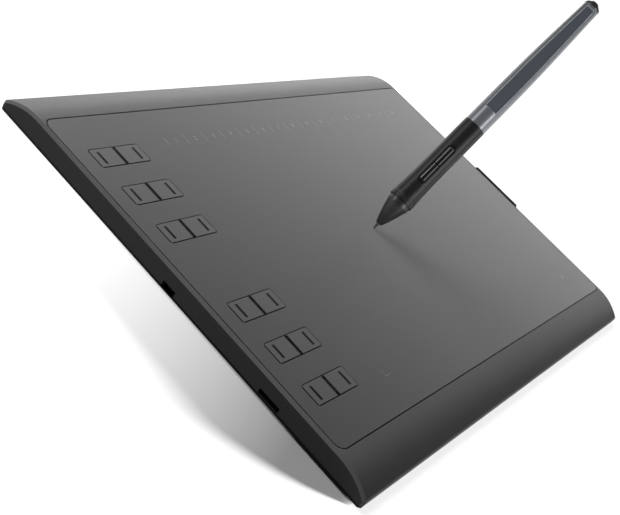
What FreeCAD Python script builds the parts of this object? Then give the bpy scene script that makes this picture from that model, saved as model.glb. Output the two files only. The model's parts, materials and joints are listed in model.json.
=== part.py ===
import FreeCAD, Part
import math
import os
from FreeCAD import Placement, Rotation, Vector

# A wired graphics tablet with its pen. All sizes are in millimetres.
# The origin is on the desk, under the middle of the tablet. +X runs to the user's right along the
# long side, +Y away from the user, and +Z up.

# Casing
tablet_width = 360.0
tablet_depth = 240.0
shell_height = 11.2
foot_height = 0.8
seam_height = 1.5
seam_reveal = 0.15
side_wall = 2.2
top_wall = 2.0
crown_radius = 34.0
crown_land = 0.6
edge_round = 2.2
edge_bevel = 1.4
base_edge_bevel = 0.3
rim_thickness = 1.2
rim_height = 1.6
fit_gap = 0.15

# Drawing sheet, glued in a shallow recess of the top cover
side_border = 2.4
crown_border = 21.5
sheet_thickness = 0.5
sheet_corner_radius = 5.0
groove_gap = 0.6
groove_depth = 1.1

# Express keys, in pairs down the left side
pair_count = 6
pair_pitch = 24.0
pair_left_inset = 30.2
window_width = 35.6
window_depth = 12.0
window_corner_radius = 1.6
key_gap = 0.35
key_divider_gap = 0.7
key_proud = 0.1
key_edge_round = 0.25
key_skin = 1.0
key_side_skin = 1.2
key_flange = 0.8
key_flange_thickness = 0.6
key_flange_gap = 0.05
key_stem_radius = 1.6
key_mark_offset = 12.6
key_mark_length = 7.2
key_mark_width = 0.9
key_mark_depth = 0.35
key_travel = 0.5

# Control board under the keys
board_wall_gap = 1.0
board_width = 52.8
board_depth_inset = 32.0
board_thickness = 1.0
board_underside = 3.8
board_post_radius = 2.2
board_post_inset = 4.5
board_middle_screw_y = 36.0
board_screw_radius = 0.8
board_screw_length = 4.0
board_screw_head_radius = 1.7
board_screw_head_height = 1.0
switch_width = 4.6
switch_height = 1.2
switch_floor = 0.25
plunger_radius = 0.9
plunger_length = 1.05
plunger_gap = 0.3
plunger_end_gap = 0.05

# Sockets in the left wall
usb_centre_y = 2.0
usb_width = 7.5
usb_height = 2.6
usb_length = 5.6
usb_shell = 0.3
usb_tongue_width = 3.9
usb_tongue_height = 0.7
usb_recess = 0.6
card_front_inset = 57.2
card_width = 14.0
card_length = 15.0
card_height = 1.8
card_shell = 0.25
card_mouth_width = 11.6
socket_gap = 0.25

# Sensor board, its shield and the foam that presses both against the top cover
sensor_board_gap = 4.0
sensor_right_inset = 12.0
sensor_depth_inset = 32.0
sensor_thickness = 0.8
shield_thickness = 0.4
shield_inset = 10.0
foam_thickness = 1.0
foam_width = 8.0
foam_count = 4
foam_pitch = 44.0
foam_inset = 8.0
rib_thickness = 1.6
cross_rib_height = 2.0
cross_rib_count = 5
ribbon_width = 20.0
ribbon_thickness = 0.3
ribbon_connector_length = 5.0
ribbon_connector_height = 1.2
ribbon_connector_margin = 2.0

# Screws that close the casing
case_screw_count = 4
case_screw_end_inset = 15.0
case_screw_row_inset = 12.5
case_screw_radius = 1.0
case_screw_length = 5.2
case_screw_head_radius = 1.9
case_screw_head_height = 0.7
boss_radius = 2.6
pilot_gap = 0.05
screw_hole_gap = 0.25
cross_slot_width = 0.5
cross_slot_depth = 0.4

# Rubber feet
foot_length = 30.0
foot_width = 9.0
foot_end_inset = 40.0
foot_row_inset = 32.0
middle_foot_radius = 7.0
foot_recess = 0.4
foot_edge_round = 0.3

# Pen loop, a folded elastic strap on the right side
loop_width = 38.6
loop_reach = 13.5
loop_height = 7.2
loop_thickness = 1.0
loop_centre_z = 5.0
loop_neck_gap = 0.2
loop_tail = 4.0
anchor_thickness = 0.8
anchor_length = 4.6

# Pen: stations are measured from the nib's tip along the pen
pen_lean = 28.5
pen_heading = 4.4
pen_roll = 9.2
nib_point_x = -8.1
nib_point_y = -4.6
nib_gap = 0.15
nib_radius = 0.9
nib_tip_radius = 0.6
nib_tip_run = 0.4
nib_taper_run = 2.6
nib_shank_end = 24.3
nib_travel = 0.8
cone_start = 3.6
cone_start_radius = 1.8
cone_bulge = 0.3
cone_end = 17.9
cone_end_radius = 6.42
cone_bore_gap = 0.3
cone_tail_end = 23.6
ring_thickness = 0.35
ring_radius = 6.58
collar_radius = 6.7
grip_start = 20.6
grip_end = 78.3
grip_lip_radius = 7.6
grip_lip_round = 0.3
grip_neck_run = 8.4
grip_neck_radius = 7.03
grip_waist_run = 18.4
grip_waist_radius = 6.78
grip_hold_run = 36.4
grip_hold_radius = 6.76
grip_end_radius = 6.74
grip_bore_radius = 5.0
slot_start = 34.5
slot_end = 61.6
slot_width = 5.3
button_gap = 0.35
button_split = 0.5
button_proud = 0.25
button_inner = 3.2
button_flange = 0.5
button_flange_thickness = 0.6
button_channel_radius = 2.4
button_channel_depth = 0.55
button_channel_inset = 2.6
button_stem_radius = 0.9
button_travel = 0.4
core_radius = 2.0
core_start = 21.8
core_end = 35.5
core_socket_gap = 0.05
coil_start = 24.0
coil_end = 33.8
coil_inner_radius = 2.3
coil_outer_radius = 4.0
sensor_puck_start = 36.4
sensor_puck_radius = 2.6
carrier_start = 23.8
carrier_end = 76.0
carrier_thickness = 0.8
carrier_gap = 0.1
pen_board_start = 41.0
pen_board_end = 75.0
pen_board_thickness = 0.8
pen_board_face = 0.8
pen_board_width = 8.4
pen_switch_height = 1.7
pen_switch_length = 3.6
pen_switch_width = 3.0
barrel_start_radius = 6.6
barrel_shoulder = 100.0
barrel_shoulder_radius = 6.58
barrel_middle = 122.0
barrel_middle_radius = 6.32
barrel_taper = 144.0
barrel_taper_radius = 5.68
barrel_end = 168.6
barrel_end_radius = 4.8
barrel_wall = 1.1
barrel_front_wall = 2.3
panel_wall = 0.5
facet_start = 89.5
facet_end_land = 1.0
facet_start_height = 5.2
facet_end_height = 4.0
panel_thickness = 0.6
panel_inset = 0.5
panel_gap = 0.06
panel_sink = 0.08
panel_corner_radius = 1.2
cap_length = 3.4
cap_stem_gap = 0.2
cap_stem_length = 5.0
cap_crown_radius = 2.6

# Levels worked out from the sizes above
base_z = foot_height
seam_z = base_z + seam_height
top_z = base_z + shell_height
half_width = tablet_width / 2
half_depth = tablet_depth / 2
card_centre_y = -half_depth + card_front_inset
sheet_depth = tablet_depth - 2 * crown_border
pair_centre_x = -half_width + pair_left_inset
board_left = -half_width + side_wall + board_wall_gap
board_right = board_left + board_width
board_depth = tablet_depth - 2 * board_depth_inset
sensor_left = board_right + sensor_board_gap
sensor_right = half_width - sensor_right_inset
sensor_depth = tablet_depth - 2 * sensor_depth_inset
foot_centre_x = half_width - foot_end_inset
foot_centre_y = half_depth - foot_row_inset
crown_start = sheet_depth / 2 + groove_gap + crown_land
ceiling_z = top_z - top_wall
sheet_z = top_z - sheet_thickness
board_z = base_z + board_underside
board_top_z = board_z + board_thickness
sensor_z = ceiling_z - sensor_thickness
shield_z = sensor_z - shield_thickness
foam_z = shield_z - foam_thickness
plunger_top_z = board_top_z + switch_floor + plunger_end_gap + key_travel + plunger_length
usb_z = board_z - usb_height
card_z = board_z - card_height
loop_z = base_z + loop_centre_z
facet_end = barrel_end - facet_end_land
pen_length = barrel_end + cap_length
barrel_bore_end = facet_end_height - panel_thickness - panel_wall


def box(x0, x1, y0, y1, z0, z1):
    """A block between two corners."""
    return Part.makeBox(x1 - x0, y1 - y0, z1 - z0, Vector(x0, y0, z0))


def rod(radius, z0, z1, x=0.0, y=0.0):
    """An upright cylinder."""
    return Part.makeCylinder(radius, z1 - z0, Vector(x, y, z0), Vector(0, 0, 1))


def tube(outer, inner, z0, z1, x=0.0, y=0.0):
    """An upright tube."""
    return rod(outer, z0, z1, x, y).cut(rod(inner, z0, z1, x, y))


def slab(centre_x, centre_y, width, depth, radius, z0, z1):
    """An upright block with rounded corners, centred on a point."""
    block = box(
        centre_x - width / 2, centre_x + width / 2, centre_y - depth / 2, centre_y + depth / 2, z0, z1
    )
    return block.makeFillet(radius, upright_edges(block))


def upright_edges(shape):
    """The straight vertical edges of a shape."""
    found = []
    for edge in shape.Edges:
        if isinstance(edge.Curve, Part.Line):
            a, b = edge.Vertexes[0].Point, edge.Vertexes[-1].Point
            if math.hypot(a.x - b.x, a.y - b.y) < 1e-6:
                found.append(edge)
    return found


def edges_in_plane(shape, axis, value, tolerance=1e-4):
    """The edges that lie wholly in the plane where one coordinate has a value."""
    found = []
    for edge in shape.Edges:
        bounds = edge.BoundBox
        low = (bounds.XMin, bounds.YMin, bounds.ZMin)[axis]
        high = (bounds.XMax, bounds.YMax, bounds.ZMax)[axis]
        if abs(low - value) < tolerance and abs(high - value) < tolerance:
            found.append(edge)
    return found


def fuse(shapes):
    """All the shapes as one solid."""
    first = shapes[0]
    if len(shapes) > 1:
        first = first.multiFuse(shapes[1:]).removeSplitter()
    return first


def turned(points, closed_on_axis=True):
    """A solid of revolution about Z from (radius, station) points, joined by straight lines."""
    corners = [Vector(r, 0, s) for r, s in points]
    if closed_on_axis:
        corners = [Vector(0, 0, points[0][1])] + corners + [Vector(0, 0, points[-1][1])]
    wire = Part.makePolygon(corners + [corners[0]])
    return Part.Face(wire).revolve(Vector(0, 0, 0), Vector(0, 0, 1), 360)


def turned_curve(points):
    """A solid of revolution whose side is one smooth curve through (radius, station) points."""
    curve = Part.BSplineCurve()
    curve.interpolate([Vector(r, 0, s) for r, s in points])
    first, last = points[0], points[-1]
    edges = [
        curve.toShape(),
        Part.makeLine(Vector(last[0], 0, last[1]), Vector(0, 0, last[1])),
        Part.makeLine(Vector(0, 0, last[1]), Vector(0, 0, first[1])),
        Part.makeLine(Vector(0, 0, first[1]), Vector(first[0], 0, first[1])),
    ]
    return Part.Face(Part.Wire(edges)).revolve(Vector(0, 0, 0), Vector(0, 0, 1), 360)


def crown_solid(inset, z_low):
    """The casing's domed block, taken in by an inset from the outer skin, down to z_low."""
    reach = half_depth - inset
    radius = crown_radius - inset
    top = top_z - inset
    centre_z = top_z - crown_radius

    def on_crown(y):
        return centre_z + math.sqrt(radius**2 - (y - crown_start) ** 2)

    def point(side, y, z):
        return Vector(0, side * y, z)

    edge_z = on_crown(reach)
    mid_y = (crown_start + reach) / 2
    lines = [
        Part.makeLine(point(-1, reach, z_low), point(-1, reach, edge_z)),
        Part.Arc(
            point(-1, reach, edge_z), point(-1, mid_y, on_crown(mid_y)), point(-1, crown_start, top)
        ).toShape(),
        Part.makeLine(point(-1, crown_start, top), point(1, crown_start, top)),
        Part.Arc(
            point(1, crown_start, top), point(1, mid_y, on_crown(mid_y)), point(1, reach, edge_z)
        ).toShape(),
        Part.makeLine(point(1, reach, edge_z), point(1, reach, z_low)),
        Part.makeLine(point(1, reach, z_low), point(-1, reach, z_low)),
    ]
    face = Part.Face(Part.Wire(lines))
    end_inset = side_wall if inset else 0.0
    face.translate(Vector(-half_width + end_inset, 0, 0))
    return face.extrude(Vector(tablet_width - 2 * end_inset, 0, 0))


def pair_rows():
    """The middle of each key pair along Y, from the back."""
    rows = []
    half = pair_count // 2
    for i in range(half, 0, -1):
        rows.append(i * pair_pitch)
    for i in range(1, pair_count - half + 1):
        rows.append(-i * pair_pitch)
    return rows


def key_windows(z0, z1, grow=0.0):
    """The cutters for the windows that the key pairs stand in."""
    return [
        slab(
            pair_centre_x,
            y,
            window_width + 2 * grow,
            window_depth + 2 * grow,
            window_corner_radius + grow,
            z0,
            z1,
        )
        for y in pair_rows()
    ]


def case_screw_places():
    """The (x, y) of the screws that close the casing."""
    first = -half_width + case_screw_end_inset
    pitch = -2 * first / (case_screw_count - 1)
    row = half_depth - case_screw_row_inset
    return [(first + i * pitch, side * row) for i in range(case_screw_count) for side in (-1, 1)]


def board_screw_places():
    """The (x, y) of the control board's screws: its corners and two more along its right side."""
    left = board_left + board_post_inset
    right = board_right - board_post_inset
    reach = board_depth / 2 - board_post_inset
    places = [(x, side * reach) for x in (left, right) for side in (-1, 1)]
    return places + [(right, side * board_middle_screw_y) for side in (-1, 1)]


def usb_cutter(gap):
    """The way in to the data socket through the left wall."""
    return box(
        -half_width - 1,
        board_left,
        usb_centre_y - usb_width / 2 - gap,
        usb_centre_y + usb_width / 2 + gap,
        usb_z - gap,
        board_z + gap,
    )


def card_cutter(width, gap):
    """The way in to the card slot through the left wall."""
    return box(
        -half_width - 1,
        -half_width + side_wall + rim_thickness + 2 * fit_gap,
        card_centre_y - width / 2 - gap,
        card_centre_y + width / 2 + gap,
        card_z - gap,
        board_z + gap,
    )


def loop_cutter(gap):
    """The slot in the right wall for the strap's two plies."""
    ply = loop_thickness + gap
    return box(
        half_width - side_wall - 1,
        half_width + 1,
        -loop_width / 2 - gap,
        loop_width / 2 + gap,
        loop_z - ply,
        loop_z + ply,
    )


def top_cover():
    """The upper shell: domed front and back edges, bevelled ends, a recess for the sheet."""
    block = crown_solid(0.0, seam_z)
    shoulders = [
        edge
        for edge in block.Edges
        if isinstance(edge.Curve, Part.Line)
        and abs(edge.BoundBox.XLength - tablet_width) < 1e-4
        and abs(abs(edge.CenterOfMass.y) - half_depth) < 1e-4
        and edge.CenterOfMass.z > seam_z + 0.1
    ]
    block = block.makeFillet(edge_round, shoulders)
    rims = [
        edge
        for side in (-1, 1)
        for edge in edges_in_plane(block, 0, side * half_width)
        if edge.BoundBox.ZMax > seam_z + 1e-3
    ]
    block = block.makeChamfer(edge_bevel, rims)
    shell = block.cut(crown_solid(top_wall, seam_z - 1))
    bosses = [
        tube(boss_radius, case_screw_radius - pilot_gap, seam_z + 0.2, top_z - top_wall - 0.3, x, y)
        for x, y in case_screw_places()
    ]
    shell = fuse([shell] + bosses)
    recess = slab(
        0.0,
        0.0,
        tablet_width - 2 * side_border + 2 * groove_gap,
        sheet_depth + 2 * groove_gap,
        sheet_corner_radius + groove_gap,
        sheet_z,
        top_z + 1,
    )
    groove = slab(
        0.0,
        0.0,
        tablet_width - 2 * side_border + 2 * groove_gap,
        sheet_depth + 2 * groove_gap,
        sheet_corner_radius + groove_gap,
        top_z - groove_depth,
        top_z + 1,
    ).cut(
        slab(
            0.0,
            0.0,
            tablet_width - 2 * side_border,
            sheet_depth,
            sheet_corner_radius,
            top_z - groove_depth - 1,
            top_z + 2,
        )
    )
    cutters = [recess, groove, usb_cutter(socket_gap), card_cutter(card_mouth_width, socket_gap)]
    cutters += [loop_cutter(loop_neck_gap)]
    cutters += key_windows(ceiling_z - 1, top_z + 1)
    return shell.cut(cutters)


def bottom_cover():
    """The lower shell: a plate with a locating rim, ribs, board posts and screw holes."""
    width = tablet_width - 2 * seam_reveal
    depth = tablet_depth - 2 * seam_reveal
    plate = box(-width / 2, width / 2, -depth / 2, depth / 2, base_z, seam_z)
    plate = plate.makeChamfer(edge_bevel, upright_edges(plate))
    plate = plate.makeChamfer(base_edge_bevel, edges_in_plane(plate, 2, base_z))
    rim_x = half_width - side_wall - fit_gap
    rim_y = half_depth - top_wall - fit_gap
    rim = box(-rim_x, rim_x, -rim_y, rim_y, seam_z, seam_z + rim_height)
    inner_x, inner_y = rim_x - rim_thickness, rim_y - rim_thickness
    rim = rim.cut(box(-inner_x, inner_x, -inner_y, inner_y, seam_z, seam_z + rim_height))
    parts = [plate, rim]
    rib_left = sensor_left + shield_inset
    rib_right = sensor_right - shield_inset
    for i in range(foam_count):
        y = (i - (foam_count - 1) / 2) * foam_pitch
        parts.append(
            box(rib_left, rib_right, y - rib_thickness / 2, y + rib_thickness / 2, seam_z - 0.1, foam_z)
        )
    rib_reach = foam_pitch * (foam_count - 1) / 2
    for i in range(cross_rib_count):
        x = rib_left + rib_thickness / 2 + i * (rib_right - rib_left - rib_thickness) / (cross_rib_count - 1)
        parts.append(
            box(
                x - rib_thickness / 2,
                x + rib_thickness / 2,
                -rib_reach,
                rib_reach,
                seam_z - 0.1,
                seam_z + cross_rib_height,
            )
        )
    for x, y in board_screw_places():
        parts.append(rod(board_post_radius, seam_z - 0.1, board_z, x, y))
    shell = fuse(parts)
    cutters = [usb_cutter(socket_gap), card_cutter(card_width, socket_gap)]
    cutters += [
        box(
            -half_width,
            -half_width + usb_length + usb_recess + socket_gap,
            usb_centre_y - usb_width / 2 - socket_gap,
            usb_centre_y + usb_width / 2 + socket_gap,
            usb_z - socket_gap,
            board_z,
        )
    ]
    for x, y in case_screw_places():
        cutters.append(rod(case_screw_radius + screw_hole_gap, base_z - 1, seam_z + 1, x, y))
        cutters.append(
            rod(case_screw_head_radius + screw_hole_gap, base_z - 1, base_z + case_screw_head_height, x, y)
        )
    for x, y in board_screw_places():
        depth_in = board_screw_length - board_thickness + 0.3
        cutters.append(rod(board_screw_radius - pilot_gap, board_z - depth_in, board_z + 1, x, y))
    cutters += foot_pads(base_z - 1, base_z + foot_recess, fit_gap)
    return shell.cut(cutters)


def foot_pads(z0, z1, grow=0.0):
    """The four corner pads and the round middle one, between two levels."""
    pads = [
        slab(
            sx * foot_centre_x,
            sy * foot_centre_y,
            foot_length + 2 * grow,
            foot_width + 2 * grow,
            foot_width / 2 + grow - 0.01,
            z0,
            z1,
        )
        for sx in (-1, 1)
        for sy in (-1, 1)
    ]
    return pads + [rod(middle_foot_radius + grow, z0, z1)]


def rubber_feet():
    """Five feet, each let into a recess of the bottom cover."""
    feet = []
    for pad in foot_pads(0.0, base_z + foot_recess):
        feet.append(pad.makeChamfer(foot_edge_round, edges_in_plane(pad, 2, 0.0)))
    return Part.makeCompound(feet)


def drawing_sheet():
    """The textured drawing sheet, with windows for the keys."""
    sheet = slab(
        0.0,
        0.0,
        tablet_width - 2 * side_border,
        sheet_depth,
        sheet_corner_radius,
        sheet_z,
        top_z,
    )
    return sheet.cut(key_windows(sheet_z - 1, top_z + 1))


def key_cap(side, y):
    """One key of a pair: side is -1 for the left one. It has a flange on its three outer sides."""
    outer = pair_centre_x + side * (window_width / 2 - key_gap)
    inner = pair_centre_x + side * key_divider_gap / 2
    x0, x1 = min(outer, inner), max(outer, inner)
    y0, y1 = y - window_depth / 2 + key_gap, y + window_depth / 2 - key_gap
    flange_top = ceiling_z - key_flange_gap
    flange_low = flange_top - key_flange_thickness
    cap = box(x0, x1, y0, y1, flange_low, top_z + key_proud)
    corners = [
        edge for edge in upright_edges(cap) if abs(edge.CenterOfMass.x - outer) < 1e-4
    ]
    cap = cap.makeFillet(window_corner_radius - key_gap, corners)
    cap = cap.makeFillet(key_edge_round, edges_in_plane(cap, 2, top_z + key_proud))
    mark_x = pair_centre_x + side * key_mark_offset
    mark = slab(
        mark_x,
        y,
        key_mark_width,
        key_mark_length,
        key_mark_width / 2 - 0.01,
        top_z + key_proud - key_mark_depth,
        top_z + key_proud + 1,
    )
    hollow = box(
        x0 + key_side_skin,
        x1 - key_side_skin,
        y0 + key_side_skin,
        y1 - key_side_skin,
        flange_low,
        top_z + key_proud - key_mark_depth - key_skin,
    )
    cap = cap.cut([mark, hollow])
    flange_x0 = x0 - key_flange if side < 0 else x0
    flange_x1 = x1 if side < 0 else x1 + key_flange
    flange = box(flange_x0, flange_x1, y0 - key_flange, y1 + key_flange, flange_low, flange_top)
    flange = flange.cut(
        box(
            x0 + key_side_skin,
            x1 - key_side_skin,
            y0 + key_side_skin,
            y1 - key_side_skin,
            flange_low,
            flange_top,
        )
    )
    stem = rod(
        key_stem_radius,
        plunger_top_z,
        top_z + key_proud - key_mark_depth - key_skin + 0.1,
        (x0 + x1) / 2,
        y,
    )
    return fuse([cap, flange, stem])


def key_places():
    """(number, side, y) of the keys: left then right in each pair, from the back."""
    places = []
    for row, y in enumerate(pair_rows()):
        for column, side in enumerate((-1, 1)):
            places.append((2 * row + column + 1, side, y))
    return places


def key_centre_x(side):
    """The middle of a key along X."""
    return pair_centre_x + side * (window_width / 2 - key_gap + key_divider_gap / 2) / 2


def switch_plunger(side, y):
    """The moving button of one key's switch."""
    return rod(plunger_radius, plunger_top_z - plunger_length, plunger_top_z, key_centre_x(side), y)


def switch_housings():
    """The twelve key switches, each a block with a well for its plunger."""
    blocks = []
    half = switch_width / 2
    for _, side, y in key_places():
        x = key_centre_x(side)
        block = box(x - half, x + half, y - half, y + half, board_top_z, board_top_z + switch_height)
        well = rod(plunger_radius + plunger_gap, board_top_z + switch_floor, board_top_z + 5, x, y)
        blocks.append(block.cut(well))
    return Part.makeCompound(blocks)


def control_board():
    """The board under the keys, with its screw holes."""
    board = box(board_left, board_right, -board_depth / 2, board_depth / 2, board_z, board_top_z)
    holes = [
        rod(board_screw_radius + screw_hole_gap, board_z - 1, board_top_z + 1, x, y)
        for x, y in board_screw_places()
    ]
    return board.cut(holes)


def control_chips():
    """The processor, memory, regulator and crystal on the control board."""
    chips = [
        (pair_centre_x, 0.0, 9.0, 9.0, 1.0),
        (pair_centre_x - 13.0, 6.0, 5.0, 4.0, 0.9),
        (pair_centre_x - 13.0, -4.0, 3.2, 2.5, 0.8),
        (pair_centre_x + 10.5, 5.0, 4.0, 3.0, 1.1),
        (pair_centre_x + 10.5, -5.0, 3.0, 3.0, 0.9),
    ]
    return Part.makeCompound(
        [
            box(x - w / 2, x + w / 2, y - d / 2, y + d / 2, board_top_z, board_top_z + h)
            for x, y, w, d, h in chips
        ]
    )


def screw(x, y, z_head, down, radius, length, head_radius, head_height):
    """A pan-head screw with a cross slot. down is the way that its point looks, -1 or 1."""
    shank_end = z_head + down * length
    head_end = z_head - down * head_height
    shank = rod(radius, min(z_head, shank_end), max(z_head, shank_end), x, y)
    head = rod(head_radius, min(z_head, head_end), max(z_head, head_end), x, y)
    body = fuse([shank, head])
    half = cross_slot_width / 2
    reach = head_radius * 0.6
    low = min(head_end, head_end + down * cross_slot_depth)
    high = max(head_end, head_end + down * cross_slot_depth)
    cross = [
        box(x - reach, x + reach, y - half, y + half, low, high),
        box(x - half, x + half, y - reach, y + reach, low, high),
    ]
    return body.cut(cross)


def case_screws():
    """The screws that come up through the bottom cover into the top cover's bosses."""
    return Part.makeCompound(
        [
            screw(
                x,
                y,
                base_z + case_screw_head_height,
                1,
                case_screw_radius - 2 * pilot_gap,
                case_screw_length,
                case_screw_head_radius,
                case_screw_head_height,
            )
            for x, y in case_screw_places()
        ]
    )


def board_screws():
    """The screws that hold the control board down on its posts."""
    return Part.makeCompound(
        [
            screw(
                x,
                y,
                board_top_z,
                -1,
                board_screw_radius - 2 * pilot_gap,
                board_screw_length,
                board_screw_head_radius,
                board_screw_head_height,
            )
            for x, y in board_screw_places()
        ]
    )


def usb_socket():
    """The data socket: a thin shell open to the left, with a tongue."""
    x0 = -half_width + usb_recess
    x1 = x0 + usb_length
    y0, y1 = usb_centre_y - usb_width / 2, usb_centre_y + usb_width / 2
    shell = box(x0, x1, y0, y1, usb_z, board_z)
    low_corners = [
        edge
        for edge in shell.Edges
        if abs(edge.BoundBox.XLength - usb_length) < 1e-4 and edge.CenterOfMass.z < usb_z + 0.1
    ]
    shell = shell.makeChamfer(usb_shell * 2, low_corners)
    inner = box(
        x0 - 1,
        x1 - usb_shell * 2,
        y0 + usb_shell * 2,
        y1 - usb_shell * 2,
        usb_z + usb_shell,
        board_z - usb_shell,
    )
    tongue_z = (usb_z + board_z) / 2
    tongue = box(
        x0 + 1.0,
        x1 - usb_shell,
        usb_centre_y - usb_tongue_width / 2,
        usb_centre_y + usb_tongue_width / 2,
        tongue_z - usb_tongue_height / 2,
        tongue_z + usb_tongue_height / 2,
    )
    return fuse([shell.cut(inner), tongue])


def card_socket():
    """The memory card slot: a flat shell open to the left."""
    x0 = -half_width + side_wall + fit_gap
    x1 = x0 + card_length
    y0, y1 = card_centre_y - card_width / 2, card_centre_y + card_width / 2
    shell = box(x0, x1, y0, y1, card_z, board_z)
    inner = box(
        x0 - 1,
        x1 - card_shell * 4,
        card_centre_y - card_mouth_width / 2,
        card_centre_y + card_mouth_width / 2,
        card_z + card_shell,
        board_z - card_shell,
    )
    return shell.cut(inner)


def sensor_board():
    """The large board whose loops sense the pen."""
    return box(sensor_left, sensor_right, -sensor_depth / 2, sensor_depth / 2, sensor_z, ceiling_z)


def shield_plate():
    """The steel plate behind the sensor board."""
    return box(
        sensor_left + shield_inset,
        sensor_right,
        -sensor_depth / 2,
        sensor_depth / 2,
        shield_z,
        sensor_z,
    )


def foam_strips():
    """Foam between the bottom cover's ribs and the shield plate."""
    strips = []
    for i in range(foam_count):
        y = (i - (foam_count - 1) / 2) * foam_pitch
        strips.append(
            box(
                sensor_left + shield_inset + foam_inset,
                sensor_right - shield_inset - foam_inset,
                y - foam_width / 2,
                y + foam_width / 2,
                foam_z,
                shield_z,
            )
        )
    return Part.makeCompound(strips)


def ribbon_sockets():
    """The ribbon's two connectors: on the control board and under the sensor board."""
    half = ribbon_width / 2 + ribbon_connector_margin
    low_x = board_right - ribbon_connector_margin
    high_x = sensor_left + ribbon_connector_margin
    return Part.makeCompound(
        [
            box(
                low_x - ribbon_connector_length,
                low_x,
                -half,
                half,
                board_top_z,
                board_top_z + ribbon_connector_height,
            ),
            box(
                high_x,
                high_x + ribbon_connector_length,
                -half,
                half,
                sensor_z - ribbon_connector_height,
                sensor_z,
            ),
        ]
    )


def ribbon_cable():
    """The flat cable between the two boards: two level ends and a ramp."""
    x0 = board_right - ribbon_connector_margin
    x1 = sensor_left + ribbon_connector_margin
    z0 = board_top_z + ribbon_connector_height / 2
    z1 = sensor_z - ribbon_connector_height / 2
    run = 2.0
    half = ribbon_thickness / 2
    outline = [
        (x0, z0 - half),
        (x0 + run + half, z0 - half),
        (x1 - run + half, z1 - half),
        (x1, z1 - half),
        (x1, z1 + half),
        (x1 - run - half, z1 + half),
        (x0 + run - half, z0 + half),
        (x0, z0 + half),
    ]
    corners = [Vector(x, -ribbon_width / 2, z) for x, z in outline]
    wire = Part.makePolygon(corners + [corners[0]])
    return Part.Face(wire).extrude(Vector(0, ribbon_width, 0))


def rounded_bar(x0, x1, z0, z1, radius, width):
    """A bar along Y whose section is a rectangle with rounded corners."""
    block = box(x0, x1, -width / 2, width / 2, z0, z1)
    long_edges = [
        edge
        for edge in block.Edges
        if abs(edge.BoundBox.YLength - width) < 1e-4
    ]
    return block.makeFillet(radius, long_edges)


def pen_loop():
    """The strap: a flat loop outside the wall and a two-ply tail through it."""
    outer = rounded_bar(
        half_width + loop_neck_gap,
        half_width + loop_reach,
        loop_z - loop_height / 2,
        loop_z + loop_height / 2,
        loop_height / 2 - 0.05,
        loop_width,
    )
    inner = rounded_bar(
        half_width + loop_neck_gap + loop_thickness,
        half_width + loop_reach - loop_thickness,
        loop_z - loop_height / 2 + loop_thickness,
        loop_z + loop_height / 2 - loop_thickness,
        loop_height / 2 - loop_thickness - 0.05,
        loop_width + 2,
    )
    tail = box(
        half_width - side_wall - loop_tail,
        half_width + loop_neck_gap + loop_thickness - 0.2,
        -loop_width / 2,
        loop_width / 2,
        loop_z - loop_thickness,
        loop_z + loop_thickness,
    )
    return fuse([outer.cut(inner), tail])


def loop_anchor():
    """The clamp inside the right wall that grips the strap's tail."""
    x1 = half_width - side_wall
    x0 = x1 - anchor_length
    half = loop_width / 2 + 1.0
    clamp = box(
        x0,
        x1,
        -half,
        half,
        loop_z - loop_thickness - anchor_thickness,
        loop_z + loop_thickness + anchor_thickness,
    )
    pocket = box(
        x0 + anchor_length - loop_tail,
        x1,
        -loop_width / 2,
        loop_width / 2,
        loop_z - loop_thickness,
        loop_z + loop_thickness,
    )
    return clamp.cut(pocket)


def stadium(width, z0, z1, reach):
    """A bar out along -X whose outline, seen from -X, is a slot with round ends."""
    half = width / 2
    low, high = z0 + half, z1 - half
    body = box(-reach, 0, -half, half, low, high)
    ends = [
        Part.makeCylinder(half, reach, Vector(-reach, 0, z), Vector(1, 0, 0)) for z in (low, high)
    ]
    return fuse([body] + ends)


def pen_nib():
    """The replaceable nib: a rod with a rounded point."""
    return turned(
        [
            (nib_tip_radius / 2, 0.0),
            (nib_tip_radius, nib_tip_run),
            (nib_radius, nib_taper_run),
            (nib_radius, nib_shank_end),
        ]
    )


def nib_core():
    """The ferrite core that the nib plugs into, and that moves with it."""
    core = rod(core_radius, core_start, core_end)
    return core.cut(rod(nib_radius + core_socket_gap, core_start, nib_shank_end + 0.1))


def pen_cone():
    """The front cone, its collar and the spigot that goes into the grip."""
    middle = (cone_start + cone_end) / 2
    bulge = (cone_start_radius + cone_end_radius) / 2 + cone_bulge
    outside = turned_curve(
        [(cone_start_radius, cone_start), (bulge, middle), (cone_end_radius, cone_end)]
    )
    collar = rod(collar_radius, cone_end + ring_thickness, grip_start)
    neck = rod(cone_end_radius - 0.6, cone_end - 0.2, grip_start)
    spigot = rod(grip_bore_radius - carrier_gap, grip_start - 0.2, cone_tail_end)
    body = fuse([outside, neck, collar, spigot])
    bores = [
        rod(nib_radius + cone_bore_gap, cone_start - 1, cone_tail_end + 1),
        rod(core_radius + 0.4, core_start - 1.4, cone_tail_end + 1),
    ]
    return body.cut(bores)


def cone_ring():
    """The thin bright ring between the cone and its collar."""
    return tube(ring_radius, cone_end_radius - 0.6, cone_end, cone_end + ring_thickness)


def grip_outside(extra=0.0):
    """The grip's outside, which swells to a lip at its front, with an extra thickness."""
    return turned_curve(
        [
            (grip_lip_radius + extra, grip_start),
            (grip_neck_radius + extra, grip_start + grip_neck_run),
            (grip_waist_radius + extra, grip_start + grip_waist_run),
            (grip_hold_radius + extra, grip_start + grip_hold_run),
            (grip_end_radius + extra, grip_end),
        ]
    )


def pen_grip():
    """The rubbery front shell, with the slot for the side buttons."""
    body = grip_outside()
    body = body.makeFillet(grip_lip_round, edges_in_plane(body, 2, grip_start))
    body = body.cut(rod(grip_bore_radius, grip_start - 1, grip_end + 1))
    return body.cut(stadium(slot_width, slot_start, slot_end, 20.0))


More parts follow.
